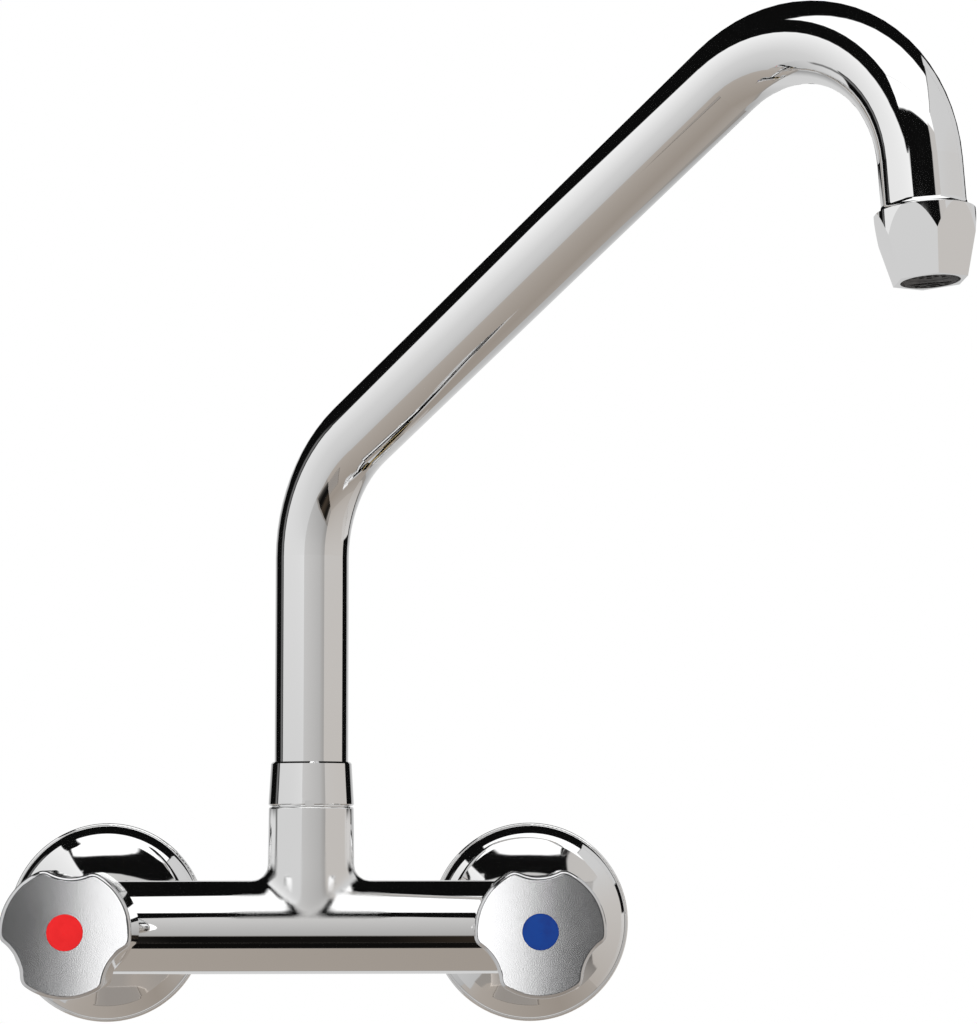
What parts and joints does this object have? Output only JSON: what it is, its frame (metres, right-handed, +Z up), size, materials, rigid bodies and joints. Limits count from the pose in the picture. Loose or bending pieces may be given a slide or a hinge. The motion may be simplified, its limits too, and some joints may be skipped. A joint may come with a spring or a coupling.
{
  "type": "wall-mounted two-handle mixer tap",
  "caption": "Chrome wall mixer: domed wall rosettes, a horizontal mixing tube, a lobed knob on each valve and a tall hooked swivel spout with a faceted nozzle.",
  "frame": {"origin": "midway between the two wall inlets, on the wall's finished surface", "axes": "+X to the right along the wall, +Y into the wall, +Z up; the tap stands out towards -Y"},
  "size_m": [0.3082, 0.2751, 0.3144],
  "materials": {
    "polished_chrome": "polished chrome plate",
    "rosette_chrome": "polished chrome plate on pressed sheet",
    "knob_chrome": "polished sides with a satin front face",
    "brass": "turned, unplated",
    "rubber": "matte",
    "ceramic": "opaque white ceramic, lapped smooth",
    "white_plastic": "moulded",
    "dark_plastic": "moulded",
    "stainless_steel": "plain",
    "hot_red": "gloss",
    "cold_blue": "gloss"
  },
  "bodies": {
    "fixed_body": {"mixer_body": "polished_chrome", "wall_union_left": "brass", "wall_union_right": "brass", "rosette_left": "rosette_chrome", "rosette_right": "rosette_chrome", "union_nut_left": "polished_chrome", "union_nut_right": "polished_chrome", "union_seal_left": "rubber", "union_seal_right": "rubber", "inlet_tail_left": "brass", "inlet_tail_right": "brass", "valve_housing_left": "brass", "valve_housing_right": "brass", "housing_o_ring_left": "rubber", "housing_o_ring_right": "rubber", "seat_seal_left": "rubber", "seat_seal_right": "rubber", "fixed_disc_left": "ceramic", "fixed_disc_right": "ceramic", "valve_shroud_left": "polished_chrome", "valve_shroud_right": "polished_chrome", "spout_collar": "polished_chrome", "spout_slip_ring": "white_plastic"},
    "spout": {"spout_tube": "polished_chrome", "spout_ferrule": "brass", "spout_o_rings": "rubber", "nozzle_thread_ring": "brass", "nozzle_shell": "polished_chrome", "aerator_washer": "rubber", "aerator_cartridge": "dark_plastic", "aerator_mesh": "stainless_steel"},
    "hot_handle": {"spindle_left": "brass", "moving_disc_left": "ceramic", "spindle_o_ring_left": "rubber", "spindle_clip_left": "stainless_steel", "hot_knob": "knob_chrome", "hot_knob_insert": "white_plastic", "hot_knob_screw": "stainless_steel", "hot_index_button": "hot_red"},
    "cold_handle": {"spindle_right": "brass", "moving_disc_right": "ceramic", "spindle_o_ring_right": "rubber", "spindle_clip_right": "stainless_steel", "cold_knob": "knob_chrome", "cold_knob_insert": "white_plastic", "cold_knob_screw": "stainless_steel", "cold_index_button": "cold_blue"}
  },
  "joints": [
    {"name": "spout_swivel", "type": "hinge", "parent": "fixed_body", "child": "spout", "pos_m": [0, -0.07, 0.058], "axis": [0, 0, 1], "range_deg": [-146, 52]},
    {"name": "hot_knob_turn", "type": "hinge", "parent": "fixed_body", "child": "hot_handle", "pos_m": [-0.075, -0.105, 0.008], "axis": [0, -1, 0], "range_deg": [0, 90]},
    {"name": "cold_knob_turn", "type": "hinge", "parent": "fixed_body", "child": "cold_handle", "pos_m": [0.075, -0.105, 0.008], "axis": [0, -1, 0], "range_deg": [0, 90]}
  ]
}
